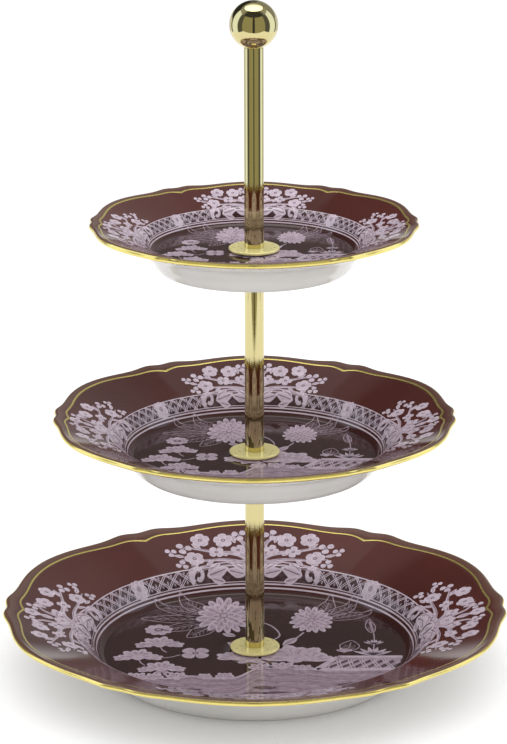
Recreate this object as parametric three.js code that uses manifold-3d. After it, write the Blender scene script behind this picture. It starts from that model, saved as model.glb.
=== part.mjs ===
// Three-tier cake stand: scalloped porcelain plates on a brass stem that screws apart.
// Millimetres, +Z up. The origin is on the table, under the middle of the bottom plate's foot ring.
import * as THREE from "three";
import { mergeVertices } from "three/addons/utils/BufferGeometryUtils.js";
import Module from "manifold-3d";

// ---- driving dimensions --------------------------------------------------------------------

// Each tier: mean radius of the scalloped outline, height of the rim at that radius and of the well
// floor above the plate's own foot ring, thickness of the well, and height of the top of its flange.
const TIERS = {
  bottom: { radius: 131.2, rim: 33.4, floor: 8.36, well: 4.4, flangeTop: 10.7 },
  middle: { radius: 103.3, rim: 28.4, floor: 6.5, well: 4.2, flangeTop: 119.8 },
  top: { radius: 83.2, rim: 24.1, floor: 8.3, well: 4.2, flangeTop: 229.2 },
};

const ROD_RADIUS = 5;
const FLANGE_RADIUS = 13.1;
const FLANGE_THICKNESS = 1.5;
const SUPPORT_RADIUS = 12;
const GASKET_RADIUS = 11.4;
const GASKET_THICKNESS = 0.8;
const SEAT_GAP = 0.02; // left between stacked faces, so that no two pieces share a surface

const THREAD_RADIUS = 3; // M6
const TAPPED_RADIUS = 3.25; // the rods' threaded holes, drawn as plain holes
const CLEARANCE_HOLE = 3.3; // through flanges, gaskets and washers
const PLATE_HOLE = 4.75; // drilled through each plate
const SOCKET_RADIUS = 3.12; // where a stud is fixed for good
const ENGAGEMENT = 12; // thread that is in use when a rod is screwed home
const STUD_ROOT = 13; // length of a stud that is fixed in its rod
const HOLE_SPARE = 1.5; // depth of a blind hole past the stud's end

const BALL_RADIUS = 12.4;
const BALL_CENTRE = 344.2;
const BALL_FLAT = 11.3; // from the ball's centre down to its flat seat on the rod
const BALL_STUD = 8;

const BOLT_HEAD_RADIUS = 8;
const BOLT_HEAD_THICKNESS = 1.4;
const WASHER_RADIUS = 13;
const WASHER_THICKNESS = 1;
const HEX_ACROSS_FLATS = 4;

const EDGE = 0.4; // broken edge on turned pieces
const LATHE_SIDES = 24;
const THREAD_SIDES = 24;

// ---- materials ---------------------------------------------------------------------------------

const finish = (color, roughness, metalness) =>
  new THREE.MeshStandardMaterial({ color, roughness, metalness });
const PORCELAIN = finish(0x4b2d2a, 0.12, 0);
const BRASS = finish(0xd8bd62, 0.14, 1);
const STEEL = finish(0xb9bbbd, 0.3, 1);
const RUBBER = finish(0x232220, 0.8, 0);

const stand = new THREE.Group();

function addPiece(name, geometry, material, z = 0) {
  const mesh = new THREE.Mesh(geometry, material);
  mesh.name = name;
  mesh.position.z = z;
  stand.add(mesh);
  return mesh;
}

// ---- turned pieces -------------------------------------------------------------------------------

// Turns a closed profile of [radius, height] points, counter-clockwise, about the Z axis.
function turned(profile, sides = LATHE_SIDES) {
  const points = profile.map(([r, z]) => new THREE.Vector2(r, z));
  if (profile[0][0] > 0) points.push(points[0].clone());
  return new THREE.LatheGeometry(points, sides).rotateX(Math.PI / 2);
}

// A flat ring with its outer edges broken, standing on z = 0.
function ring(hole, radius, thickness, edge = 0) {
  const outer = edge
    ? [
        [radius - edge, 0],
        [radius, edge],
        [radius, thickness - edge],
        [radius - edge, thickness],
      ]
    : [
        [radius, 0],
        [radius, thickness],
      ];
  return turned([[hole, 0], ...outer, [hole, thickness]]);
}

// A rod on z = 0: its lower end is tapped, and its upper end is drilled for a stud that stays in it.
function drilledRod(length) {
  const tapped = ENGAGEMENT + HOLE_SPARE;
  const socketFloor = length - STUD_ROOT - SEAT_GAP;
  return turned([
    [0, tapped],
    [TAPPED_RADIUS, tapped],
    [TAPPED_RADIUS, 0],
    [ROD_RADIUS - EDGE, 0],
    [ROD_RADIUS, EDGE],
    [ROD_RADIUS, length - EDGE],
    [ROD_RADIUS - EDGE, length],
    [SOCKET_RADIUS, length],
    [SOCKET_RADIUS, socketFloor],
    [0, socketFloor],
  ]);
}

// A headless stud on z = 0, chamfered at both ends.
function stud(length) {
  const tip = THREAD_RADIUS - 2 * EDGE;
  return turned(
    [
      [0, 0],
      [tip, 0],
      [THREAD_RADIUS, 2 * EDGE],
      [THREAD_RADIUS, length - 2 * EDGE],
      [tip, length],
      [0, length],
    ],
    THREAD_SIDES,
  );
}

// ---- booleans --------------------------------------------------------------------------------------

const wasm = await Module();
wasm.setup();

function toSolid(geometry) {
  const bare = geometry.clone();
  bare.deleteAttribute("normal");
  bare.deleteAttribute("uv");
  const merged = mergeVertices(bare, 1e-4);
  return new wasm.Manifold(
    new wasm.Mesh({
      numProp: 3,
      vertProperties: new Float32Array(merged.attributes.position.array),
      triVerts: new Uint32Array(merged.index.array),
    }),
  );
}

function toGeometry(solid) {
  const { vertProperties, triVerts } = solid.getMesh();
  const geometry = new THREE.BufferGeometry();
  geometry.setAttribute("position", new THREE.BufferAttribute(vertProperties, 3));
  geometry.setIndex(new THREE.BufferAttribute(triVerts, 1));
  geometry.computeVertexNormals();
  return geometry;
}

// ---- the base bolt ---------------------------------------------------------------------------------

// A thin flat head with a hex socket, and a plain shank; z = 0 is the underside of the head.
function baseBolt(shank) {
  const tip = THREAD_RADIUS - 2 * EDGE;
  const total = BOLT_HEAD_THICKNESS + shank;
  const body = turned(
    [
      [0, 0],
      [BOLT_HEAD_RADIUS - EDGE, 0],
      [BOLT_HEAD_RADIUS, EDGE],
      [BOLT_HEAD_RADIUS, BOLT_HEAD_THICKNESS],
      [THREAD_RADIUS, BOLT_HEAD_THICKNESS],
      [THREAD_RADIUS, total - 2 * EDGE],
      [tip, total],
      [0, total],
    ],
    THREAD_SIDES,
  );
  const hexRadius = HEX_ACROSS_FLATS / 2 / Math.cos(Math.PI / 6);
  const socketDepth = 3;
  const key = new THREE.CylinderGeometry(hexRadius, hexRadius, 2 * socketDepth, 6).rotateX(Math.PI / 2);
  return toGeometry(toSolid(body).subtract(toSolid(key)));
}

// ---- the ball ------------------------------------------------------------------------------------

// A ball with a flat seat and a blind hole under it; z = 0 is the seat.
function finialBall() {
  const steps = 11;
  const seat = -Math.asin(BALL_FLAT / BALL_RADIUS);
  const arc = Array.from({ length: steps + 1 }, (_, i) => {
    const a = seat + ((Math.PI / 2 - seat) * i) / steps;
    return [i === steps ? 0 : BALL_RADIUS * Math.cos(a), BALL_FLAT + BALL_RADIUS * Math.sin(a)];
  });
  const depth = BALL_STUD + HOLE_SPARE;
  return turned([[0, depth], [SOCKET_RADIUS, depth], [SOCKET_RADIUS, 0], ...arc]);
}

// ---- plates --------------------------------------------------------------------------------------

const LOBES = 6;
const LOBE_ANGLE = 360 / LOBES;

// The outline's radius over its mean radius, at an angle in degrees. Each lobe is a shallow hump;
// between two lobes the edge swells into a pair of shoulders with a small pinched notch.
function scallop(degrees) {
  const fromNotch =
    ((((degrees + LOBE_ANGLE / 2) % LOBE_ANGLE) + LOBE_ANGLE) % LOBE_ANGLE) - LOBE_ANGLE / 2;
  const hump = -0.02 * Math.cos(THREE.MathUtils.degToRad(LOBES * fromNotch));
  const shoulders = 0.055 * Math.exp(-((fromNotch / 7.5) ** 2));
  const notch = -0.032 * Math.exp(-((fromNotch / 3.9) ** 2));
  return 1 + hump + shoulders + notch;
}

// Angles of the outline's corners, closer together round the notches.
function outlineAngles() {
  const half = [0, 2, 4.5, 8, 13, 20];
  const lobe = [...half, LOBE_ANGLE / 2, ...half.slice(1).map((a) => LOBE_ANGLE - a).reverse()];
  return Array.from({ length: LOBES }, (_, i) => lobe.map((a) => a + i * LOBE_ANGLE)).flat();
}

// The integral of a slope that grows smoothly from 0 to 1 between start and start + length.
function easedRamp(x, start, length) {
  const t = (x - start) / length;
  if (t <= 0) return 0;
  return t >= 1 ? length * (t - 0.5) : length * (t ** 3 - t ** 4 / 2);
}

// Height of the upper surface over the well floor, as a share of the rim's height over it, at a
// share of the radius: flat well, steep verge, then a flange that climbs gently to the rim.
const VERGE_SLOPE = 1.25;
const FLANGE_SLOPE = 0.335;
const unscaledRise = (share) =>
  VERGE_SLOPE * easedRamp(share, 0.6, 0.045) -
  (VERGE_SLOPE - FLANGE_SLOPE) * easedRamp(share, 0.675, 0.05);
const RIM_CREST = 0.985; // share of the radius where the rim is highest
const riseAt = (share) => unscaledRise(share) / unscaledRise(RIM_CREST);

// The scalloping's stretch of a circle at this share of the radius, at an angle in degrees.
const scallopStretch = (share, degrees) =>
  1 + THREE.MathUtils.smoothstep(share, 0.66, 0.97) * (scallop(degrees) - 1);

// Height of the upper surface over the foot ring.
const upperHeight = ({ rim, floor }, share) => floor + (rim - floor) * riseAt(share);

// How much a place lies higher for its stretch: the outline is cut from a bowl that climbs outwards,
// so the rim is highest in the middle of a lobe.
const BOWL_CUT = 0.75;
const bowlLift = (tier, share, stretch) =>
  upperHeight(tier, share * (1 + BOWL_CUT * (stretch - 1))) - upperHeight(tier, share);

const LIP = 3; // thickness of the rim

// The plate's section as closed stations of [share of the radius, height over the foot ring].
function plateSection(tier) {
  const { radius, rim, floor, well } = tier;
  const upper = (share) => upperHeight(tier, share);
  const thickness = (share) => THREE.MathUtils.lerp(well, LIP, THREE.MathUtils.smoothstep(share, 0.6, 1));
  const lower = (share) => upper(share) - thickness(share);
  const hole = PLATE_HOLE / radius;
  const clearOfFlange = (FLANGE_RADIUS + EDGE) / radius;
  const ceiling = floor - well;
  return [
    [hole, floor],
    [clearOfFlange, floor],
    ...[0.6, 0.63, 0.66, 0.69, 0.725, 0.84, RIM_CREST].map((s) => [s, upper(s)]),
    [0.997, rim - 0.12 * LIP],
    [1, rim - LIP / 2],
    [0.992, rim - LIP],
    ...[0.84, 0.725, 0.68, 0.64].map((s) => [s, lower(s)]),
    [0.608, ceiling], // outer wall of the foot ring
    [0.59, 0.5],
    [0.585, 0],
    [0.555, 0],
    [0.54, ceiling], // inner wall of the foot ring
    [hole, ceiling],
  ];
}

// Sweeps the section round the outline. The stations run from the hole out over the top, round the
// lip and back underneath, and the faces are wound to point outwards for that order.
function plate(tier) {
  const section = plateSection(tier);
  const angles = outlineAngles();
  const position = [];
  for (const degrees of angles) {
    const angle = THREE.MathUtils.degToRad(degrees);
    for (const [share, height] of section) {
      const stretch = scallopStretch(share, degrees);
      const r = share * tier.radius * stretch;
      const z = height + bowlLift(tier, share, stretch);
      position.push(r * Math.cos(angle), r * Math.sin(angle), z);
    }
  }
  const n = section.length;
  const index = [];
  for (let i = 0; i < angles.length; i++) {
    const here = i * n;
    const next = ((i + 1) % angles.length) * n;
    for (let j = 0; j < n; j++) {
      const k = (j + 1) % n;
      index.push(here + j, here + k, next + j, here + k, next + k, next + j);
    }
  }
  const geometry = new THREE.BufferGeometry();
  geometry.setAttribute("position", new THREE.Float32BufferAttribute(position, 3));
  geometry.setIndex(index);
  geometry.computeVertexNormals();
  return geometry;
}

// ---- assembly --------------------------------------------------------------------------------------

// Places one tier from its flange downwards and returns the height of the lowest clamped face.
function addTier(name, tier) {
  const gasketTop = tier.flangeTop - FLANGE_THICKNESS - SEAT_GAP;
  const wellFloor = gasketTop - GASKET_THICKNESS - SEAT_GAP;
  const wellUnderside = wellFloor - tier.well;
  const lowerGasket = wellUnderside - SEAT_GAP - GASKET_THICKNESS;
  const flange = ring(CLEARANCE_HOLE, FLANGE_RADIUS, FLANGE_THICKNESS, EDGE);
  const gasket = ring(CLEARANCE_HOLE, GASKET_RADIUS, GASKET_THICKNESS);
  addPiece(`${name}_flange`, flange, BRASS, tier.flangeTop - FLANGE_THICKNESS);
  addPiece(`${name}_plate_upper_gasket`, gasket, RUBBER, gasketTop - GASKET_THICKNESS);
  addPiece(`${name}_plate`, plate(tier), PORCELAIN, wellFloor - tier.floor);
  addPiece(`${name}_plate_lower_gasket`, gasket, RUBBER, lowerGasket);
  return lowerGasket - SEAT_GAP;
}

// Stands a rod on the flange below it, under a support disc that carries the plate above it.
function addRod(name, supportName, flangeBelow, clampedFace, flangeAbove) {
  const bottom = flangeBelow + SEAT_GAP;
  const supportBottom = clampedFace - FLANGE_THICKNESS;
  const top = supportBottom - SEAT_GAP;
  const studBottom = top - STUD_ROOT;
  const studLength = flangeAbove + SEAT_GAP + ENGAGEMENT - studBottom;
  addPiece(name, drilledRod(top - bottom), BRASS, bottom);
  addPiece(`${name}_stud`, stud(studLength), STEEL, studBottom);
  addPiece(supportName, ring(CLEARANCE_HOLE, SUPPORT_RADIUS, FLANGE_THICKNESS, EDGE), BRASS, supportBottom);
}

// Clamps the bottom plate from below with a washer and a bolt into the lower rod.
function addBase(clampedFace, flangeTop) {
  const washerBottom = clampedFace - WASHER_THICKNESS;
  const headTop = washerBottom - SEAT_GAP;
  const shank = flangeTop + SEAT_GAP + ENGAGEMENT - headTop;
  addPiece("base_washer", ring(CLEARANCE_HOLE, WASHER_RADIUS, WASHER_THICKNESS), STEEL, washerBottom);
  addPiece("base_bolt", baseBolt(shank), STEEL, headTop - BOLT_HEAD_THICKNESS);
}

// Ends the stem with the handle rod and the ball that the stand is carried by.
function addHandle(flangeBelow) {
  const bottom = flangeBelow + SEAT_GAP;
  const seat = BALL_CENTRE - BALL_FLAT;
  const top = seat - SEAT_GAP;
  addPiece("handle_rod", drilledRod(top - bottom), BRASS, bottom);
  addPiece("finial_stud", stud(STUD_ROOT + SEAT_GAP + BALL_STUD), STEEL, top - STUD_ROOT);
  addPiece("finial_ball", finialBall(), BRASS, seat);
}

const bottomFace = addTier("bottom", TIERS.bottom);
const middleFace = addTier("middle", TIERS.middle);
const topFace = addTier("top", TIERS.top);
addBase(bottomFace, TIERS.bottom.flangeTop);
addRod("lower_rod", "middle_support_disc", TIERS.bottom.flangeTop, middleFace, TIERS.middle.flangeTop);
addRod("middle_rod", "top_support_disc", TIERS.middle.flangeTop, topFace, TIERS.top.flangeTop);
addHandle(TIERS.top.flangeTop);

export default stand;
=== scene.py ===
"""Looks of the three-tier cake stand: glazed plates with enamel flowers, and a polished brass stem."""

import math

import bpy
import numpy as np
from mathutils import Matrix, Vector


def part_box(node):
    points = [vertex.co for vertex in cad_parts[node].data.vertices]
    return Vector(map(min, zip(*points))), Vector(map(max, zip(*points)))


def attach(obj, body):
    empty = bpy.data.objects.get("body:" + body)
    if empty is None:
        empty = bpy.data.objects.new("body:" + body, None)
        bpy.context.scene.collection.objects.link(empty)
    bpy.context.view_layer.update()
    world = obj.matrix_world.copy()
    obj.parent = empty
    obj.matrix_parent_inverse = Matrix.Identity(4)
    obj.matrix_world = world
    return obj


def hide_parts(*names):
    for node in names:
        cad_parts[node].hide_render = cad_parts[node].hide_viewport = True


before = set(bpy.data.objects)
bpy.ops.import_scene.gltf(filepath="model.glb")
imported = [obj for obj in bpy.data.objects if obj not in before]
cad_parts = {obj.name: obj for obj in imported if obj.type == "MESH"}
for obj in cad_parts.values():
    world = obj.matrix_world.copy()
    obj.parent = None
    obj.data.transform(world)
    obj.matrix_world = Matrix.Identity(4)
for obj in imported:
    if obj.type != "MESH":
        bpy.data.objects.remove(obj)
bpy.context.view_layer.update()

MM = 0.001
TIERS = ("bottom", "middle", "top")
RNG = np.random.default_rng(7)


# ---- camera ----

CAMERA_DISTANCE = 1.6375  # from the stem's axis, measured on the ground
CAMERA_HEIGHT = 0.6636
CAMERA_PITCH = math.radians(17.025)  # how far it looks down
CAMERA_YAW = math.radians(0.016)
CAMERA_ROLL = math.radians(-0.12)
CAMERA_LENS = 160.2  # focal length in millimetres, on a sensor 36 mm along its longer side
CAMERA_SENSOR = 36
CAMERA_RANGE = (0.05, 30)


def add_camera():
    data = bpy.data.cameras.new("photo_camera")
    data.sensor_width = CAMERA_SENSOR
    data.lens = CAMERA_LENS
    data.clip_start, data.clip_end = CAMERA_RANGE
    camera = bpy.data.objects.new("photo_camera", data)
    turn = Matrix.Rotation(CAMERA_YAW, 4, "Z") @ Matrix.Rotation(math.pi / 2 - CAMERA_PITCH, 4, "X")
    place = Matrix.Translation((0, -CAMERA_DISTANCE, CAMERA_HEIGHT))
    camera.matrix_world = place @ turn @ Matrix.Rotation(CAMERA_ROLL, 4, "Z")
    bpy.context.scene.collection.objects.link(camera)
    bpy.context.scene.camera = camera


add_camera()


# ---- node helpers ----

class Nodes:
    """A small wrapper for building node trees."""

    def __init__(self, tree):
        self.tree = tree

    def node(self, kind, **values):
        node = self.tree.nodes.new(kind)
        for key, value in values.items():
            if key in node.inputs:
                node.inputs[key].default_value = value
            else:
                setattr(node, key.lower(), value)
        return node

    def link(self, source, target):
        self.tree.links.new(source, target)

    def feed(self, value, target):
        """Sets an input to a number or a colour, or links it to an output."""
        if isinstance(value, bpy.types.NodeSocket):
            self.link(value, target)
        else:
            target.default_value = value

    def math(self, operation, *values, clamp=False):
        node = self.node("ShaderNodeMath", operation=operation, use_clamp=clamp)
        for value, target in zip(values, node.inputs):
            self.feed(value, target)
        return node.outputs[0]

    def mix(self, share, a, b):
        """Colour a where the share is 0, and b where it is 1."""
        node = self.node("ShaderNodeMix", data_type="RGBA")
        self.feed(share, node.inputs[0])
        self.feed(a, node.inputs[6])
        self.feed(b, node.inputs[7])
        return node.outputs[2]

    def noise(self, scale, detail, stretch=(1, 1, 1), rough=0.5):
        coords = self.node("ShaderNodeTexCoord")
        mapping = self.node("ShaderNodeMapping", Scale=stretch)
        noise = self.node("ShaderNodeTexNoise", Scale=scale, Detail=detail, Roughness=rough)
        self.link(coords.outputs["Object"], mapping.inputs["Vector"])
        self.link(mapping.outputs["Vector"], noise.inputs["Vector"])
        return noise.outputs["Fac"]

    def ramp(self, fac, stops):
        """A colour ramp; each stop is a place and a colour, or a place and a grey."""
        node = self.node("ShaderNodeValToRGB")
        ramp = node.color_ramp
        while len(ramp.elements) < len(stops):
            ramp.elements.new(0.5)
        for element, (place, color) in zip(ramp.elements, stops):
            element.position = place
            element.color = (*color, 1) if isinstance(color, tuple) else grey(color)
        self.link(fac, node.inputs["Fac"])
        return node.outputs["Color"]

    def value_range(self, fac, low, high):
        """Spreads the middle part of a noise over a range of values."""
        node = self.node("ShaderNodeMapRange")
        for key, value in zip(("From Min", "From Max", "To Min", "To Max"), (0.3, 0.7, low, high)):
            node.inputs[key].default_value = value
        self.link(fac, node.inputs["Value"])
        return node.outputs["Result"]


class Shader(Nodes):
    """A material's node tree, with the inputs of its Principled BSDF."""

    def __init__(self, name):
        self.material = bpy.data.materials.new(name)
        self.material.use_nodes = True
        super().__init__(self.material.node_tree)
        self.bsdf = self.tree.nodes["Principled BSDF"]

    def set(self, **values):
        for key, value in values.items():
            self.bsdf.inputs[key.replace("_", " ")].default_value = value

    def attribute(self, name):
        node = self.node("ShaderNodeAttribute")
        node.attribute_name = name
        return node.outputs["Fac"]

    def color(self, color):
        self.link(color, self.bsdf.inputs["Base Color"])

    def tones(self, noise, low, high, start=0.3, end=0.7):
        self.color(self.ramp(self.noise(*noise), [(start, low), (end, high)]))

    def roughness(self, noise, low, high):
        self.link(self.value_range(self.noise(*noise), low, high), self.bsdf.inputs["Roughness"])

    def bump(self, noise, distance, strength=1.0):
        node = self.node("ShaderNodeBump", Strength=strength, Distance=distance)
        self.link(self.noise(*noise), node.inputs["Height"])
        self.link(node.outputs["Normal"], self.bsdf.inputs["Normal"])


def grey(value):
    return (value, value, value, 1)


def srgb(r, g, b):
    """A display colour, 0 to 255, as linear light."""
    return tuple(((c / 255 + 0.055) / 1.055) ** 2.4 if c > 10 else c / 255 / 12.92 for c in (r, g, b))


# ---- materials ----

def glaze_material():
    """Burgundy-brown gloss glaze: darker in the well, redder on the flange, greyer at the edge as a painted
    sheen.
    """
    s = Shader("burgundy_glaze")
    patches = s.noise(9, 2)
    flange = s.ramp(patches, [(0.3, srgb(70, 37, 33)), (0.5, srgb(78, 40, 36)), (0.72, srgb(88, 44, 39))])
    well = s.ramp(patches, [(0.3, srgb(48, 28, 26)), (0.7, srgb(57, 32, 29))])
    # The verge tone is a painted sheen: a greyer edge that stands in for a reflection of the room.
    verge = s.ramp(patches, [(0.3, srgb(92, 66, 57)), (0.7, srgb(106, 78, 68))])
    s.color(s.mix(s.attribute("verge"), s.mix(s.attribute("flange"), well, flange), verge))
    s.roughness((60, 3), 0.05, 0.1)
    s.set(IOR=1.45, Specular_IOR_Level=0.5)
    s.bump((22, 2), 0.00012, 0.5)
    return s.material


def underglaze_material():
    """Greyish white glaze of the undersides, with faint turning marks."""
    s = Shader("white_glaze")
    s.tones((14, 3, (1, 1, 6)), srgb(206, 204, 199), srgb(220, 218, 214))
    s.roughness((80, 2), 0.08, 0.16)
    s.set(IOR=1.5)
    s.bump((40, 2, (1, 1, 5)), 0.0002, 0.5)
    return s.material


def bisque_material():
    """The ground, unglazed bottom of the foot ring."""
    s = Shader("bisque")
    s.tones((400, 4), srgb(200, 192, 180), srgb(222, 216, 206))
    s.roughness((200, 2), 0.7, 0.9)
    s.bump((1500, 3), 0.00005)
    return s.material


def enamel_material():
    """Pale lilac enamel; the tone attribute runs from the bare glaze to the outline."""
    s = Shader("lilac_enamel")
    wash = s.value_range(s.noise(240, 4, rough=0.65), -0.13, 0.1)
    tone = s.math("ADD", s.attribute("tone"), wash, clamp=True)
    tones = ((0.0, 62, 40, 42), (0.35, 118, 97, 108), (0.7, 168, 150, 164), (1.0, 206, 191, 204))
    s.color(s.ramp(tone, [(place, srgb(*color)) for place, *color in tones]))
    s.roughness((60, 3), 0.06, 0.12)
    s.set(IOR=1.45, Specular_IOR_Level=0.5)
    return s.material


def gilding_material():
    """Gold lustre, brushed on the rims and lines."""
    s = Shader("gold_lustre")
    s.tones((90, 4), srgb(228, 209, 116), srgb(238, 221, 138), 0.2, 0.8)
    s.roughness((300, 3), 0.18, 0.22)
    s.set(Metallic=0.8)
    s.bump((260, 3), 0.000004, 0.4)
    return s.material


def brass_material(name, rough, color, metallic=1.0, coat=0.0):
    """Lacquered brass with faint turning marks."""
    s = Shader(name)
    lighter = tuple(min(1, 1.05 * c) for c in color)
    s.tones((30, 3), color, lighter)
    s.roughness((500, 2, (1, 1, 14)), *rough)
    s.set(Metallic=metallic, Coat_Weight=coat, Coat_Roughness=0.05)
    s.bump((700, 2, (0.4, 0.4, 8)), 0.00001, 0.4)
    return s.material


def steel_material():
    """Zinc-plated steel of the studs, bolt and washer."""
    s = Shader("zinc_steel")
    s.tones((160, 3), srgb(168, 170, 172), srgb(204, 205, 204))
    s.roughness((420, 3), 0.22, 0.4)
    s.set(Metallic=1.0)
    s.bump((900, 2), 0.00001, 0.5)
    return s.material


def rubber_material():
    """Matt black gasket rubber."""
    s = Shader("gasket_rubber")
    s.tones((300, 3), srgb(26, 26, 27), srgb(40, 40, 41))
    s.roughness((600, 2), 0.6, 0.8)
    s.bump((1800, 2), 0.00003)
    return s.material


GLAZE = glaze_material()
UNDERGLAZE = underglaze_material()
BISQUE = bisque_material()
ENAMEL = enamel_material()
GOLD = gilding_material()
BRASS = brass_material("polished_brass", (0.03, 0.07), srgb(206, 195, 143))
# The flange discs: a pale, partly non-metallic base colour is a painted reflection of the bright room
# behind them.
SATIN_BRASS_PAINTED_REFLECTION = brass_material("satin_brass_painted_reflection", (0.26, 0.34), srgb(250, 238, 166), 0.35, 0.35)
STEEL = steel_material()
RUBBER = rubber_material()


# ---- mesh helpers ----

def add_mesh(name, points, faces, materials, body, sharp_degrees=35):
    """A smooth-shaded mesh in millimetres that rides on a body."""
    mesh = bpy.data.meshes.new(name)
    mesh.from_pydata([tuple(p) for p in np.asarray(points) * MM], [], faces)
    mesh.validate()
    for material in materials:
        mesh.materials.append(material)
    mesh.shade_smooth()
    mesh.set_sharp_from_angle(angle=math.radians(sharp_degrees))
    obj = bpy.data.objects.new(name, mesh)
    bpy.context.scene.collection.objects.link(obj)
    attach(obj, body)
    return obj


def turned_mesh(profile, sides=128):
    """Points and faces of a closed or axis-to-axis profile of (radius, height), turned about Z."""
    profile = [(float(r), float(z)) for r, z in profile]
    closed = profile[0][0] > 0
    points, rows = [], []
    for r, z in profile:
        if r == 0:
            rows.append([len(points)] * sides)
            points.append((0, 0, z))
            continue
        rows.append(list(range(len(points), len(points) + sides)))
        turn = np.arange(sides) * 2 * math.pi / sides
        points.extend(zip(r * np.cos(turn), r * np.sin(turn), np.full(sides, z)))
    faces = []
    for j in range(len(rows) if closed else len(rows) - 1):
        low, high = rows[j], rows[(j + 1) % len(rows)]
        for i in range(sides):
            k = (i + 1) % sides
            corners = [low[i], low[k], high[k], high[i]]
            face = list(dict.fromkeys(corners))
            if len(face) > 2:
                faces.append(face)
    return points, faces


HOLD = 0.3  # distance from a rounding to the profile point that holds the flat beside it


def rounded(radius, z0, z1, edge):
    """Profile points of a rod's or disc's outer wall with rounded edges, going up.

    A point next to each rounding, on the wall and on both flats, keeps their shading flat.
    """
    arc = np.linspace(0, math.pi / 2, 5)
    low = [(radius - edge + edge * math.sin(a), z0 + edge - edge * math.cos(a)) for a in arc]
    high = [(radius - edge + edge * math.cos(a), z1 - edge + edge * math.sin(a)) for a in arc]
    hold = min(HOLD, (z1 - z0 - 2 * edge) / 4)
    inner = radius - edge - HOLD
    return [(inner, z0), *low, (radius, z0 + edge + hold), (radius, z1 - edge - hold), *high, (inner, z1)]


def box_of(node):
    """Radius, bottom and top of a CAD node that stands on the stem's axis, in millimetres."""
    low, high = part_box(node)
    return (high.x - low.x) / 2 / MM, low.z / MM, high.z / MM


# ---- turned brass, steel and rubber ----

CLEARANCE_HOLE = 3.3
HOLE_EDGE = 0.15
THREAD_RADIUS = 3.0
THREAD_DEPTH = 0.55
PITCH = 1.0
TAPPED_RADIUS = 3.25
TAPPED_DEPTH = 13.5
SOCKET_RADIUS = 3.12
SOCKET_DEPTH = 13.02
BALL_SOCKET_DEPTH = 9.5
ROD_EDGE = 0.12
COUNTERSINK = 0.3
BOLT_HEAD = 1.4
BOLT_EDGE = 0.35
HEX_INRADIUS = 2.0


def add_disc(node, body, material, edge):
    radius, z0, z1 = box_of(node)
    wall = rounded(radius, z0, z1, edge)
    profile = [
        (CLEARANCE_HOLE, z0 + HOLE_EDGE),
        (CLEARANCE_HOLE + HOLE_EDGE, z0),
        *wall,
        (CLEARANCE_HOLE + HOLE_EDGE, z1),
        (CLEARANCE_HOLE, z1 - HOLE_EDGE),
    ]
    points, faces = turned_mesh(profile)
    obj = add_mesh(f"{node}_turned", points, faces, [material], body)
    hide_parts(node)
    return obj


def add_rod(node):
    radius, z0, z1 = box_of(node)
    profile = [
        (0, z0 + TAPPED_DEPTH),
        (TAPPED_RADIUS, z0 + TAPPED_DEPTH),
        (TAPPED_RADIUS, z0 + COUNTERSINK),
        (TAPPED_RADIUS + COUNTERSINK, z0),
        *rounded(radius, z0, z1, ROD_EDGE),
        (SOCKET_RADIUS, z1),
        (SOCKET_RADIUS, z1 - SOCKET_DEPTH),
        (0, z1 - SOCKET_DEPTH),
    ]
    points, faces = turned_mesh(profile)
    obj = add_mesh(f"{node}_polished", points, faces, [BRASS], node)
    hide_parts(node)


def threaded_points(z0, z1, sides=40):
    """Rows of points of a right-hand M6 thread between two heights, six rows for each turn."""
    rows = []
    count = int(round((z1 - z0) / PITCH * 6))
    turn = np.arange(sides) * 2 * math.pi / sides
    for i in range(count + 1):
        z = z0 + (z1 - z0) * i / count
        phase = (z / PITCH - turn / (2 * math.pi)) % 1.0
        depth = THREAD_DEPTH * np.abs(2 * phase - 1)
        taper = 0.8 * np.clip(1 - min(z - z0, z1 - z) / (0.9 * PITCH), 0, 1)
        r = np.minimum(THREAD_RADIUS - depth, THREAD_RADIUS - taper)
        rows.append(np.stack([r * np.cos(turn), r * np.sin(turn), np.full(sides, z)], 1))
    return rows


def skin(rows):
    """Points and faces of a tube through rows of points, with flat caps."""
    points = np.concatenate(rows)
    sides = len(rows[0])
    last = (len(rows) - 1) * sides
    faces = []
    for j in range(0, last, sides):
        for i in range(sides):
            k = (i + 1) % sides
            faces.append((j + i, j + k, j + sides + k, j + sides + i))
    return points, [*faces, tuple(range(sides - 1, -1, -1)), tuple(range(last, last + sides))]


def add_stud(node, body):
    _, z0, z1 = box_of(node)
    points, faces = skin(threaded_points(z0, z1))
    obj = add_mesh(f"{node}_threaded", points, faces, [STEEL], body, 60)
    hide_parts(node)


def add_base_bolt():
    """A thin head, down, with a hex socket in it, and a threaded shank."""
    radius, z0, z1 = box_of("base_bolt")
    sides = 48
    turn = np.arange(sides) * 2 * math.pi / sides
    flats = HEX_INRADIUS / np.cos((turn + math.pi / 6) % (math.pi / 3) - math.pi / 6)

    def circle(r, z):
        r = np.broadcast_to(r, (sides,))
        return np.stack([r * np.cos(turn), r * np.sin(turn), np.full(sides, z)], 1)

    socket = [circle(flats * 0.98, z0 + 1.1 * BOLT_HEAD), circle(flats, z0 + 0.2), circle(flats + 0.2, z0)]
    wall = [circle(r, z) for r, z in rounded(radius, z0, z0 + BOLT_HEAD, BOLT_EDGE)]
    shank = threaded_points(z0 + BOLT_HEAD + 0.01, z1, sides)
    points, faces = skin(socket + wall + shank)
    obj = add_mesh("base_bolt_threaded", points, faces, [STEEL], "base", 50)
    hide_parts("base_bolt")


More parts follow.
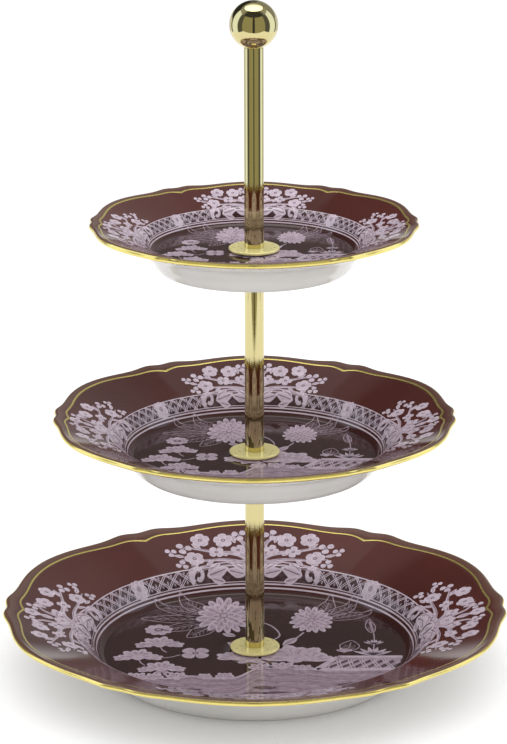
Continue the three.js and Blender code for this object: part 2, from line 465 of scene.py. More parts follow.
def add_ball():
    radius, seat, top = box_of("finial_ball")
    centre = top - radius
    start = math.asin((seat - centre) / radius)
    angles = np.linspace(start, math.pi / 2, 81)
    arc = [(radius * math.cos(a), centre + radius * math.sin(a)) for a in angles[:-1]]
    end = seat + BALL_SOCKET_DEPTH
    profile = [(0, end), (SOCKET_RADIUS, end), (SOCKET_RADIUS, seat), *arc, (0, top)]
    points, faces = turned_mesh(profile, 160)
    obj = add_mesh("finial_ball_polished", points, faces, [BRASS], "handle_rod")
    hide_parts("finial_ball")


STUDS = {"lower_rod": "lower_rod_stud", "middle_rod": "middle_rod_stud", "handle_rod": "finial_stud"}
for rod in STUDS:
    add_rod(rod)
add_ball()
for rod, stud in STUDS.items():
    add_stud(stud, rod)
add_base_bolt()
add_disc("base_washer", "base", STEEL, 0.2)
add_disc("middle_support_disc", "lower_rod", BRASS, 0.4)
add_disc("top_support_disc", "middle_rod", BRASS, 0.4)
PLATE_BODY = {"bottom": "base", "middle": "middle_plate", "top": "top_plate"}
for tier in TIERS:
    # The flange discs show a painted reflection in their pale colour.
    add_disc(f"{tier}_flange", f"{tier}_flange", SATIN_BRASS_PAINTED_REFLECTION, 0.55)
    for side in ("upper", "lower"):
        add_disc(f"{tier}_plate_{side}_gasket", PLATE_BODY[tier], RUBBER, 0.25)


# ---- the plates' form ----

PLATE_HOLE = 4.75
LIP = 3.0
LIP_REACH = 0.015  # how far the rounded lip reaches past the rim's crest, as a share of the radius
RIM_CREST = 0.985
WELL_EDGE = 0.6
VERGE_SLOPE = 1.25
FLANGE_SLOPE = 0.335
FLANGE_START = 0.675
SCALLOPED = (0.66, 0.97)  # the scallops grow from nothing to their full depth between these shares
STACK_GAP = 0.02  # between a plate and the gaskets above and under it
LOBE = 60.0
HUMP = 0.02
BOWL_CUT = 0.75  # how far the outline's scallops are cut from a bowl that climbs outwards


def smoothstep(x, low, high):
    t = np.clip((np.asarray(x, float) - low) / (high - low), 0, 1)
    return t * t * (3 - 2 * t)


def scallop(degrees):
    """Outline radius over mean radius: shallow humps with a small pinched notch between them."""
    d = (np.asarray(degrees, float) + LOBE / 2) % LOBE - LOBE / 2
    hump = -HUMP * np.cos(np.radians(6 * d))
    return 1 + hump + 0.055 * np.exp(-((d / 7.5) ** 2)) - 0.032 * np.exp(-((d / 3.9) ** 2))


def eased_ramp(x, start, length):
    """Level up to the start, then it eases over the length into a slope of 1."""
    t = (np.asarray(x, float) - start) / length
    inner = np.clip(t, 0, 1)
    return length * np.where(t < 1, inner**3 - inner**4 / 2, t - 0.5)


def raw_rise(share):
    """Height over the well for one unit of radius: a steep verge, then the flatter flange."""
    verge = VERGE_SLOPE * eased_ramp(share, WELL_EDGE, 0.045)
    return verge - (VERGE_SLOPE - FLANGE_SLOPE) * eased_ramp(share, FLANGE_START, 0.05)


def polar(degrees, r):
    a = np.radians(degrees)
    return np.stack([r * np.cos(a), r * np.sin(a)], -1)


def hoop_faces(m, n):
    """The faces of m closed sections of n points each, in a closed ring."""
    return [
        (i * n + j, (i + 1) % m * n + j, (i + 1) % m * n + (j + 1) % n, i * n + (j + 1) % n)
        for i in range(m)
        for j in range(n)
    ]


class Plate:
    """One tier's plate: its sizes, read from the CAD boxes, and its surfaces."""

    def __init__(self, tier):
        low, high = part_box(f"{tier}_plate")
        self.tier = tier
        self.body = PLATE_BODY[tier]
        self.radius = high.y / MM / (1 + HUMP)
        self.foot = low.z / MM
        self.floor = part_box(f"{tier}_plate_upper_gasket")[0].z / MM - STACK_GAP
        self.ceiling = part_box(f"{tier}_plate_lower_gasket")[1].z / MM + STACK_GAP
        summit = raw_rise(RIM_CREST * (1 + BOWL_CUT * HUMP)) / raw_rise(RIM_CREST)
        self.rim = self.floor + (high.z / MM - self.floor) / summit

    def upper(self, share):
        """Height of the upper surface, before the bowl's lift."""
        return self.floor + (self.rim - self.floor) * raw_rise(share) / raw_rise(RIM_CREST)

    def lower(self, share):
        well = self.floor - self.ceiling
        thickness = well + (LIP - well) * smoothstep(share, WELL_EDGE, 1)
        return self.upper(share) - thickness

    def place(self, share, degrees, height):
        """The point at a share of the radius and a height on a round plate, moved with the scallops."""
        stretch = 1 + smoothstep(share, *SCALLOPED) * (scallop(degrees) - 1)
        lift = self.upper(share * (1 + BOWL_CUT * (stretch - 1))) - self.upper(share)
        plan = polar(degrees, share * self.radius * stretch)
        return np.concatenate([plan, (height + lift)[..., None]], -1)

    def sweep(self, section, angles):
        """Points of a closed section of (share, height) swept round the outline, and its faces."""
        share = np.array([s for s, _ in section])
        height = np.array([z for _, z in section])
        a, s = np.meshgrid(angles, share, indexing="ij")
        points = self.place(s, a, np.broadcast_to(height, s.shape)).reshape(-1, 3)
        return points, hoop_faces(len(angles), len(section))


def lobe_angles():
    """Angles round the plate, closer together within 12 degrees of a notch."""
    near = 12.0
    lobe = np.concatenate([np.arange(-near, near, 0.4), np.arange(near, LOBE - near, 1.5)])
    return np.concatenate([lobe + LOBE * i for i in range(6)])


def plate_section(p):
    """The section as (share, height, kind); kind 0 is the upper glaze, 1 the underside, 2 the foot."""
    hole = PLATE_HOLE / p.radius
    upper = [hole + 0.006, 0.2, 0.4, 0.55, *np.linspace(0.595, 0.73, 22), *np.linspace(0.75, 0.98, 14)]
    under = [*np.linspace(0.96, 0.76, 8), *np.linspace(0.745, 0.638, 15)]
    section = [(hole, p.floor - 0.5, 0)]
    section += [(s, float(p.upper(s)), 0) for s in upper]
    for a in np.linspace(0, math.pi, 13):
        kind = 0 if a < 1.2 else 1
        section.append((RIM_CREST + LIP_REACH * math.sin(a), p.rim - LIP / 2 * (1 - math.cos(a)), kind))
    section += [(s, float(p.lower(s)), 1) for s in under]
    drop = p.ceiling - p.foot
    start = float(p.lower(0.638)) - p.foot
    for share, part in ((0.628, 0.73), (0.618, 0.5), (0.608, 0.3), (0.6, 0.16), (0.594, 0.07)):
        section.append((share, p.foot + part * start, 1))
    section += [(0.5895, p.foot + 0.1, 2)]
    section += [(0.5865, p.foot, 2), (0.5545, p.foot, 2), (0.5515, p.foot + 0.1, 1)]
    section += [(0.547, p.foot + 0.5 * drop, 1), (0.542, p.ceiling - 0.12 * drop, 1), (0.534, p.ceiling, 1)]
    section += [(0.3, p.ceiling, 1), (hole + 0.006, p.ceiling, 1), (hole, p.ceiling + 0.5, 1)]
    return section


def add_attribute(obj, name, values):
    attribute = obj.data.attributes.new(name, "FLOAT", "POINT")
    attribute.data.foreach_set("value", np.asarray(values, np.float32))


def add_plate(p):
    section = plate_section(p)
    angles = lobe_angles()
    points, faces = p.sweep([(s, z) for s, z, _ in section], angles)
    glazes = [GLAZE, UNDERGLAZE, BISQUE]
    obj = add_mesh(f"{p.tier}_plate_glazed", points, faces, glazes, p.body, 50)
    kinds = [kind for _, _, kind in section]
    kinds = [after if kind == 2 else kind for kind, after in zip(kinds, kinds[1:] + kinds[:1])]
    obj.data.polygons.foreach_set("material_index", np.tile(np.array(kinds, np.int32), len(angles)))
    # The verge share marks the outer edge, where the glaze colour carries a painted sheen.
    for name, low, high in (("flange", 0.6, 0.68), ("verge", 0.95, 0.97)):
        add_attribute(obj, name, np.tile(smoothstep([s for s, _, _ in section], low, high), len(angles)))
    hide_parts(f"{p.tier}_plate")


GILDING_LIFT = 0.07
GILDING_BED = -0.12


def add_rim_gilding(p):
    """A closed band of gold over the outside of the lip."""
    arc = np.linspace(0.75, 2.55, 10)

    def at(a, lift):
        share = RIM_CREST + (LIP_REACH + lift / p.radius) * math.sin(a)
        return share, p.rim - LIP / 2 + (LIP / 2 + lift) * math.cos(a)

    section = [at(a, GILDING_LIFT) for a in arc] + [at(a, GILDING_BED) for a in arc[::-1]]
    points, faces = p.sweep(section, lobe_angles())
    add_mesh(f"{p.tier}_rim_gilding", points, faces, [GOLD], p.body, 60)


LINE_SHARE = 0.958
LINE_HALF_WIDTH = 0.48


def add_gold_line(p):
    """The painted line inside the rim; it dips at each notch, down to a small cusp."""
    angles = lobe_angles()
    from_notch = np.abs((angles + LOBE / 2) % LOBE - LOBE / 2)
    centre = LINE_SHARE - 0.018 * np.exp(-((from_notch / 12) ** 2)) - 0.011 * np.exp(-from_notch / 1.6)
    width = LINE_HALF_WIDTH / p.radius * (1 + 0.5 * np.exp(-((from_notch / 2.0) ** 2)))
    low, edge, crown = GILDING_BED, GILDING_LIFT, GILDING_LIFT + 0.04
    section = [(-1, edge), (-0.5, crown), (0.5, crown), (1, edge), (1, low), (-1, low)]
    rows = []
    for side, lift in section:
        share = centre + side * width
        rows.append(p.place(share, angles, p.upper(share) + lift))
    points = np.stack(rows, 1).reshape(-1, 3)
    faces = hoop_faces(len(angles), len(section))
    add_mesh(f"{p.tier}_gold_line", points, faces, [GOLD], p.body, 60)


# ---- enamel decoration ----

class Enamel:
    """Thin closed shapes in plan, where 1 is a plate's mean radius, each with a tone at every point."""

    BED = -0.15  # how deep a shape stands in the glaze, in millimetres
    LIFT = 0.05
    STEP = 0.012  # each later shape lies this much higher, so that overlaps never share a surface

    def __init__(self):
        self.plan, self.lift, self.tone, self.faces = [], [], [], []
        self.count = 0

    def _add(self, plan, tone, faces, level, *edges):
        """Adds a top sheet, a bottom sheet, and walls between them along the edges."""
        plan = np.asarray(plan, float)
        n = len(plan)
        base = self.count
        self.plan += [plan, plan]
        self.lift += [np.full(n, self.LIFT + self.STEP * level), np.full(n, self.BED)]
        self.tone += [np.broadcast_to(tone, (n,))] * 2
        self.faces += [tuple(base + v for v in f) for f in faces]
        self.faces += [tuple(base + n + v for v in f[::-1]) for f in faces]
        for edge in edges:
            for a, b in zip(edge, edge[1:] + edge[:1]):
                self.faces.append((base + b, base + a, base + n + a, base + n + b))
        self.count += 2 * n

    def blob(self, centre, outline, tone_edge, tone_in, level, rings):
        """A star-shaped patch round a centre, with one tone along its edge and one inside."""
        outline = np.asarray(outline, float)
        n = len(outline)
        ahead = np.roll(outline, -1, 0)
        if (outline[:, 0] * ahead[:, 1] - outline[:, 1] * ahead[:, 0]).sum() < 0:
            outline = outline[::-1]
        plan = np.concatenate([*(np.asarray(centre, float) + outline * ring for ring in rings), [centre]])
        tone = [tone_edge] * 2 * n + [tone_in] * ((len(rings) - 2) * n + 1)
        last = (len(rings) - 1) * n
        faces = []
        for i in range(n):
            j = (i + 1) % n
            faces += [(k + i, k + j, k + n + j, k + n + i) for k in range(0, last, n)]
            faces.append((last + i, last + j, len(plan) - 1))
        self._add(plan, tone, faces, level, list(range(n)))

    def stroke(self, path, width, tone, level, closed=False):
        """A ribbon along a path; width is one number or one for each point."""
        path = np.asarray(path, float)
        n = len(path)
        width = np.broadcast_to(width, (n,)) / 2
        ahead, behind = np.roll(path, -1, 0), np.roll(path, 1, 0)
        if not closed:
            ahead[-1], behind[0] = path[-1], path[0]
        along = ahead - behind
        along /= np.linalg.norm(along, axis=1)[:, None] + 1e-12
        side = np.stack([-along[:, 1], along[:, 0]], 1) * width[:, None]
        plan = np.concatenate([path - side, path + side])
        faces = [(i, (i + 1) % n, n + (i + 1) % n, n + i) for i in range(n if closed else n - 1)]
        near, far = list(range(n)), list(range(2 * n - 1, n - 1, -1))
        self._add(plan, tone, faces, level, *([near, far] if closed else [near + far]))

    def band(self, low, high, rows, tones, level):
        """A patch between two lines of points, with one tone along its upper edge and one below."""
        low, high = np.asarray(low, float), np.asarray(high, float)
        n = len(low)
        share = np.concatenate([np.linspace(0, 0.93, rows), [0.965, 1.0]])
        plan = np.concatenate([low + (high - low) * t for t in share])
        tone = np.concatenate([np.full(n, tones[0] if t > 0.95 else tones[1]) for t in share])
        m = len(share)
        faces = [(k * n + i, k * n + i + 1, (k + 1) * n + i + 1, (k + 1) * n + i)
                 for k in range(m - 1) for i in range(n - 1)]
        edge = list(range(n)) + [k * n + n - 1 for k in range(1, m)]
        edge += list(range(m * n - 2, (m - 1) * n - 1, -1)) + [k * n for k in range(m - 2, 0, -1)]
        self._add(plan, tone, faces, level, edge)

    def shift(self, first, at, stretch):
        """Stretches every sheet from this index on about the origin, and moves it to a place."""
        for k in range(first, len(self.plan)):
            self.plan[k] = self.plan[k] * np.array(stretch) + np.array(at)

    def mesh_on(self, p, name):
        """Lays the shapes on a plate."""
        plan = np.concatenate(self.plan)
        share = np.hypot(plan[:, 0], plan[:, 1])
        degrees = np.degrees(np.arctan2(plan[:, 1], plan[:, 0]))
        points = p.place(share, degrees, p.upper(share) + np.concatenate(self.lift))
        obj = add_mesh(f"{p.tier}_{name}", points, self.faces, [ENAMEL], p.body, 60)
        add_attribute(obj, "tone", np.concatenate(self.tone))


def turn(points, degrees):
    """Points turned anticlockwise about the origin."""
    c, s = math.cos(math.radians(degrees)), math.sin(math.radians(degrees))
    return np.asarray(points, float) @ np.array([[c, s], [-s, c]])


def egg(length, width, point=0.0, n=16, fat=0.0):
    """An oval outline from the origin along +X; point pinches the tip, fat moves the belly outwards."""
    t = np.arange(n) * 2 * math.pi / n
    along = length / 2 * (1 + np.cos(t))
    across = width / 2 * np.sin(t) * (1 + fat * np.cos(t))
    across *= 1 - point * smoothstep(along / length, 0.45, 1.0) * 0.65
    return np.stack([along, across], 1)


DISC = egg(1, 1, n=14) - [0.5, 0]
FINE_LINE = 0.0042  # width of the lines of an outlined leaf


def petal(e, at, heading, length, width, point=0.0, level=0, tone=0.88, edge=1.0, n=12):
    outline = turn(egg(length, width, point, n, 0.25) - [length / 2, 0], heading)
    centre = np.asarray(at) + turn([[length / 2, 0]], heading)[0]
    e.blob(centre, outline, edge, tone, level, (1.0, 0.78, 0.6))


def flower(e, at, size, rot, petals, level, heart=0.3):
    """An open flower with round petals, a dark heart and a light button."""
    step = 360 / petals
    width = size * min(1.68 * math.sin(math.radians(step / 2)), 0.9)
    for i in range(petals):
        start = np.asarray(at) + turn([[size * 0.14, 0]], rot + i * step)[0]
        petal(e, start, rot + i * step, size * 0.88, width, level=level + i % 2, tone=0.9, edge=0.97)
    e.blob(at, DISC * size * heart * 1.3, 0.2, 0.2, level + 3, (1.0, 0.5))
    e.blob(at, DISC * size * heart * 0.7, 0.85, 0.8, level + 4, (1.0, 0.5))


def leaf(e, at, heading, length, width, level, vein=True):
    petal(e, at, heading, length, width, 0.9, level)
    if vein:
        line = np.stack([np.linspace(0.12, 0.85, 6) * length, np.zeros(6)], 1)
        e.stroke(np.asarray(at) + turn(line, heading), length * 0.03 + 0.001, 0.45, level + 2)


def outlined_leaf(e, at, heading, length, width, level, veins=5):
    """A leaf drawn with thin lines only."""
    outline = np.asarray(at) + turn(egg(length, width, 0.6, 40), heading)
    e.stroke(outline, FINE_LINE, 0.75, level, closed=True)
    ribs = np.stack([np.linspace(0.05, 0.8, 8) * length, np.zeros(8)], 1)
    e.stroke(np.asarray(at) + turn(ribs, heading), FINE_LINE, 0.7, level + 1)
    for i in range(veins):
        start = (0.14 + 0.13 * i) * length
        for side in (1, -1):
            tip = np.array([start + 0.16 * length, side * width * (0.34 - 0.03 * i)])
            path = np.linspace([start, 0], tip, 5)
            e.stroke(np.asarray(at) + turn(path, heading), FINE_LINE * 0.7, 0.6, level + 1)


def curve(points):
    """A smooth line through a few points (Catmull-Rom), in about 24 steps."""
    p = np.asarray(points, float)
    p = np.concatenate([[2 * p[0] - p[1]], p, [2 * p[-1] - p[-2]]])
    out = []
    for i in range(1, len(p) - 2):
        for t in np.linspace(0, 1, 24 // (len(p) - 3), endpoint=False):
            a = 2 * p[i]
            b = p[i + 1] - p[i - 1]
            c = 2 * p[i - 1] - 5 * p[i] + 4 * p[i + 1] - p[i + 2]
            d = 3 * p[i] - p[i - 1] - 3 * p[i + 1] + p[i + 2]
            out.append((a + b * t + c * t * t + d * t**3) / 2)
    return np.array([*out, p[-2]])


# ---- lattice band ----

BAND_LOW = 0.658
BAND_HIGH = 0.709
BORDER = ((0.64, 0.0045), (0.651, 0.004), (BAND_LOW, 0.002), (BAND_HIGH, 0.004))  # share, width
SPRAYS = {90: 0.32, 180: 0.265, 270: 0.32, 0: 0.265}  # angle, and half the length of its cartouche
CELLS = 72  # lattice cells round the whole band


def along_to_degrees(t):
    """Distances along the rim, in shares of the plate's radius, as degrees."""
    return np.degrees(np.asarray(t, float) / 0.8)


def in_gap(degrees):
    """Whether a place on the band is covered by a cartouche."""
    return any(abs((degrees - c + 180) % 360 - 180) < along_to_degrees(half) for c, half in SPRAYS.items())


def rosette(e, centre, share):
    """A round flower that covers the band."""
    for k in range(8):
        a = math.pi * (k + 0.3) / 4
        at = polar(centre + 2.2 * math.cos(a), share + 0.023 * math.sin(a))
        e.blob(at, turn(DISC * [0.022, 0.026], centre), 1.0, 0.85, 4 + k % 2, (1.0, 0.75, 0.6))
    e.blob(polar(centre, share), turn(DISC * [0.038, 0.042], centre), 0.95, 0.85, 7, (1.0, 0.8, 0.7))
    e.blob(polar(centre, share), turn(DISC * [0.016, 0.02], centre), 0.45, 0.6, 9, (1.0, 0.8, 0.7))


def lattice_band():
    """Pairs of crossing lines with flecks in every opening, and a rosette between two cartouches."""
    e = Enamel()
    for c in range(45, 360, 90):
        sector = np.linspace(c, c + 90, 91)
        e.band(polar(sector, BAND_LOW), polar(sector, BAND_HIGH), 5, (0.05, 0.05), -1)
    for share, width in BORDER:
        e.stroke(polar(np.arange(360.0), share), width, 1.0, 2, closed=True)
    step = 360 / CELLS
    height = np.linspace(BAND_LOW, BAND_HIGH, 7)
    climb = (height - BAND_LOW) / (BAND_HIGH - BAND_LOW)
    middle = (BAND_LOW + BAND_HIGH) / 2
    for i in range(CELLS):
        for side in (1, -1):
            for pair in (-0.45, 0.45):
                degrees = i * step + pair + side * 1.25 * step * (climb - 0.5)
                if not in_gap(degrees.mean()):
                    e.stroke(polar(degrees, height), 0.0026, 1.0, 1 if side > 0 else 2)
        centre = (i + 0.5) * step
        if in_gap(centre):
            continue
        for k, (da, ds) in enumerate(((-0.22, 0.006), (0.22, -0.006), (0.0, 0.0))):
            at = polar(centre + da * step, middle + ds)
            petal(e, at, centre + 30 + 70 * k, 0.0125, 0.007, tone=0.75, edge=0.8, n=8)
        for ds, da in ((-0.019, -0.5), (-0.019, 0.5), (0.015, -0.5), (0.015, 0.5)):
            at = polar(centre + da * step, middle + ds)
            petal(e, at, centre + 90 * (ds > 0), 0.0095, 0.008, tone=0.7, edge=0.75, n=8)
    for c in range(45, 360, 90):
        rosette(e, c, middle)
    return e


# ---- sprays on the rim ----

class Spot:
    """Places on the rim round one angle: t runs along the rim, s is the share of the radius."""

    def __init__(self, angle, mirror):
        self.angle = angle
        self.mirror = mirror

    def xy(self, t, s):
        return polar(self.angle - self.mirror * along_to_degrees(t), np.asarray(s, float))

    def heading(self, t, degrees):
        """The plan direction of a heading: 0 is along the rim, 90 is outwards."""
        here = self.angle - self.mirror * float(along_to_degrees(t))
        return here - 90 + (degrees if self.mirror > 0 else 180 - degrees)


def cartouche(e, centre, half):
    """A framed field on the band: an arch, a heavy volute at each end, leaves inside and a rosette."""
    for side in (1, -1):
        spot = Spot(centre, side)
        t = np.linspace(0, 1, 22)
        e.stroke(spot.xy(t * half, 0.706 + 0.032 * (1 - t**1.6)), 0.009, 0.8, 7)
        e.stroke(spot.xy(t * (half - 0.02), 0.693 + 0.03 * (1 - t**1.6)), 0.004, 0.6, 7)
        angle = np.linspace(-0.25 * math.pi, 1.7 * math.pi, 26)
        radius = 0.031 - 0.019 * (angle - angle[0]) / (angle[-1] - angle[0])
        path = spot.xy(half - 0.035 + 1.25 * radius * np.cos(angle), 0.686 + radius * np.sin(angle))
        e.stroke(path, np.linspace(0.022, 0.012, 26), 0.95, 8)
        e.stroke(spot.xy(half - 0.05 + 0.05 * t, 0.715 - 0.05 * t**2), 0.02 - 0.012 * t, 0.95, 9)
        leaves = [
            (half - 0.08, 0.68, 172, 0.1), (half - 0.09, 0.69, 150, 0.075), (0.045, 0.678, 8, 0.08),
            (0.05, 0.69, 30, 0.065), (half - 0.1, 0.672, -165, 0.06),
        ]
        for k, (start, share, heading, length) in enumerate(leaves):
            leaf(e, spot.xy(start, share), spot.heading(start, heading), length, length * 0.42, 6 + k % 3)
    middle = polar(centre, 0.693)
    e.blob(middle, turn(DISC * [0.1, 0.064], centre - 90), 1.0, 0.15, 10, (1.0, 0.84, 0.76, 0.4))
    flower(e, middle, 0.026, 90, 6, 12)


# One half of a spray. Scrolls: points of (along the rim, share of the radius) and the width at the root.
SCROLLS = [
    ([(0.0, 0.715), (0.07, 0.775), (0.17, 0.8), (0.27, 0.845)], 0.034),
    ([(0.01, 0.72), (0.035, 0.79), (0.05, 0.85), (0.1, 0.895)], 0.03),
    ([(0.02, 0.715), (0.13, 0.745), (0.24, 0.755), (0.33, 0.775)], 0.024),
]
# Clusters of petals: along, share, size of one flower, petals.
CLUSTERS = [
    (0.06, 0.892, 0.032, 3), (0.125, 0.866, 0.042, 5), (0.215, 0.884, 0.042, 5), (0.295, 0.842, 0.034, 3),
    (0.355, 0.826, 0.026, 3), (0.165, 0.798, 0.034, 4), (0.27, 0.772, 0.042, 5), (0.34, 0.742, 0.028, 3),
    (0.07, 0.8, 0.032, 4),
]
# Leaves: along, share, heading, length.
LEAVES = [
    (0.08, 0.845, 80, 0.045), (0.225, 0.83, 50, 0.05), (0.31, 0.79, 20, 0.045), (0.12, 0.77, 40, 0.045),
    (0.085, 0.735, -15, 0.04), (0.26, 0.735, -10, 0.04), (0.19, 0.745, -30, 0.04),
]


def half_spray(e, spot, fullness):
    """Fullness scales the flowers and the scrolls' width, and leaves their places alone."""
    for points, width in SCROLLS:
        t, s = curve(points).T
        taper = fullness * width * np.linspace(1, 0.3, len(t))
        e.stroke(spot.xy(t, s), taper, 0.85, 3)
        e.stroke(spot.xy(t, s + 0.2 * taper), 0.003, 0.4, 4)
    for k, (t, s, degrees, length) in enumerate(LEAVES):
        leaf(e, spot.xy(t, s), spot.heading(t, degrees), length, length * 0.45, 5 + k % 3)
    for k, (t, s, size, petals) in enumerate(CLUSTERS):
        flower(e, spot.xy(t, s), size * fullness, RNG.uniform(0, 90), petals, 9 + 5 * (k % 2), 0.34)


def rim_sprays():
    e = Enamel()
    for centre, half in SPRAYS.items():
        fullness = 1.0 if centre % 180 else 0.84
        for side in (1, -1):
            half_spray(e, Spot(centre, side), fullness)
        flower(e, polar(centre, 0.775), 0.04 * fullness, centre, 5, 20, 0.36)
        flower(e, polar(centre, 0.895), 0.038 * fullness, centre + 36, 5, 20, 0.36)
        leaf(e, polar(centre, 0.81), centre, 0.06, 0.032, 18)
        cartouche(e, centre, half)
    return e


# ---- the well ----

WELL_TONE = 0.82  # the well's shapes are a darker tone than the rim's


def blossom(e, at, wide, tall):
    """A full double flower: three rings of narrow petals round a pale heart."""
    first, level = len(e.plan), 10
    for ring, (count, reach, width) in enumerate(((16, 1.0, 0.27), (12, 0.72, 0.26), (8, 0.46, 0.24))):
        for i in range(count):
            heading = 11 + (i + 0.5 * ring) * 360 / count
            start = turn([[reach * 0.22, 0]], heading)[0]
            length = reach * (0.76 + 0.07 * math.sin(5 * i + ring))
            petal(e, start, heading, length, width, 0, level + 2 * ring + i % 2, 0.82, 1.0)
            vein = turn([[reach * (0.32 + 0.09 * k), 0] for k in range(6)], heading)
            e.stroke(vein, 0.02, 0.5, level + 2 * ring + 2)
    e.blob((0, 0), DISC * 0.3, 0.4, 0.9, level + 8, (1.0, 0.8, 0.7))
    e.shift(first, at, (wide / 2, tall / 2))


def tuft(e, at, size, headings, level, squash=1.0):
    """A fan of rounded petals, like a small spray seen from the side."""
    first = len(e.plan)
    for k, heading in enumerate(headings):
        petal(e, (0, 0), heading, size * (1.0 if k % 2 else 0.86), size * 0.42, 0, level + k % 3, 0.88)
        rib = turn([[size * (0.3 + 0.09 * j), 0] for j in range(5)], heading)
        e.stroke(rib, 0.003, 0.5, level + 3)
    e.blob((0, 0), DISC * size * 0.5, 0.95, 0.85, level + 4, (1.0, 0.6))
    e.shift(first, at, (1, squash))


def crest_at(x):
    """How far back the ground across the front of the well reaches."""
    x = np.asarray(x, float)
    crest = -0.3 + 0.1 * smoothstep(x, -0.12, 0.03) - 0.025 * smoothstep(x, 0.2, 0.3)
    return crest + 0.012 * np.sin(19 * x) * (x < 0.2) + 0.007 * np.sin(47 * x + 1) * (x < 0.2)


def ground(e):
    """The pale ground, with folds, stones and tufts."""
    x = np.linspace(-0.5, 0.56, 100)
    shore = np.stack([x, -np.sqrt(0.615**2 - x**2)], 1)
    e.band(shore, np.stack([x, np.maximum(crest_at(x), shore[:, 1] + 0.01)], 1), 9, (0.95, 0.66), 5)
    for k in range(8):
        x = np.linspace(-0.4 + 0.04 * k, 0.52 - 0.05 * k, 50)
        y = crest_at(x) - 0.03 * (k + 1) + 0.009 * np.sin((13 + 3 * k) * x + 2 * k)
        e.stroke(np.stack([x, y], 1), 0.005, 0.5 + 0.3 * (k % 2), 7)
    for x, size in ((-0.47, 0.06), (-0.4, 0.05), (-0.31, 0.055), (-0.12, 0.05), (-0.2, 0.04)):
        tuft(e, (x, float(crest_at(x)) - 0.01), size, (150, 120, 90, 60, 30), 8, 1.3)
    for x, y, wide in STONES:
        e.blob((x, y), egg(2 * wide, 0.7 * wide, n=18) - [wide, 0], 0.5, 0.0, 9, (1.0, 0.85, 0.7))
        for k in (-1, 0, 1):
            shade = y + 0.16 * k * wide
            e.stroke(np.linspace((x - 0.6 * wide, shade), (x + 0.6 * wide, shade), 6), 0.003, 0.5, 11)


def trellis(e):
    """A low garden trellis that runs off to the right: a thick frame and crossed double laths."""
    low, high = -0.226, -0.088
    left_low, left_high, right = 0.24, 0.335, 0.6
    laths = 6

    def line(u, v):
        """A line on the trellis; u runs to the right from the left post and v up it."""
        u, v = np.broadcast_arrays(u, v)
        y = low + (high - low) * v
        left = left_low + (left_high - left_low) * v
        return np.stack([left + (np.minimum(right, np.sqrt(0.6**2 - y * y)) - left) * u, y], 1)

    rail = np.linspace(0, 1, 16)
    e.band(line(rail, 0), line(rail, 1), 6, (0.25, 0.2), 4)
    e.stroke(line(rail, 1), 0.026, 1.0, 10)
    e.stroke(line(np.linspace(0.03, 1, 16), 0.84), 0.006, 1.0, 10)
    e.stroke(line(rail, 0.07), 0.02, 1.0, 10)
    e.stroke(line(0, np.linspace(0, 1, 8)), 0.024, 1.0, 10)
    v = np.linspace(0.08, 0.84, 12)
    for i in range(-1, laths):
        for side, lean in enumerate((2.0 * (1 - v), 1.2 * v)):
            for twin in (-0.02, 0.02):
                u = (i + lean) / laths + twin
                inside = (u > 0.02) & (u < 1)
                if inside.sum() > 2:
                    e.stroke(line(u[inside], v[inside]), 0.006, 0.95, 6 + side)


def reeds(e, x, y, tall):
    """A stem with narrow leaves and an outlined bud."""
    e.stroke(curve([(x, y), (x + 0.012, y + 0.5 * tall), (x, y + tall)]), 0.005, 0.85, 3)
    outlined_leaf(e, (x + 0.005, y + 0.62 * tall), 94, 0.36 * tall, 0.1 * tall, 3, 2)
    for heading in (150, 125, 100, 75, 50, 30):
        leaf(e, (x, y), heading, 0.22 * tall, 0.022, 4, False)
        leaf(e, (x + 0.008, y + 0.3 * tall), heading, 0.12 * tall, 0.014, 4, False)


# Leaves behind the two blossoms: place, heading, length and width.
BLOSSOM_LEAVES = [
    (-0.2, 0.4, 125, 0.2, 0.085), (-0.21, 0.37, 150, 0.24, 0.085), (-0.21, 0.33, 178, 0.26, 0.085),
    (-0.2, 0.29, 205, 0.22, 0.085), (-0.17, 0.26, 232, 0.17, 0.085), (0.28, 0.37, 78, 0.19, 0.075),
    (0.3, 0.36, 48, 0.2, 0.075), (0.31, 0.33, 22, 0.19, 0.075),
]
# Stones on the ground: place and half their width.
STONES = [
    (-0.25, -0.43, 0.045), (0.04, -0.41, 0.055), (0.09, -0.47, 0.07),
    (0.0, -0.47, 0.05), (0.36, -0.38, 0.045), (0.4, -0.36, 0.03),
]


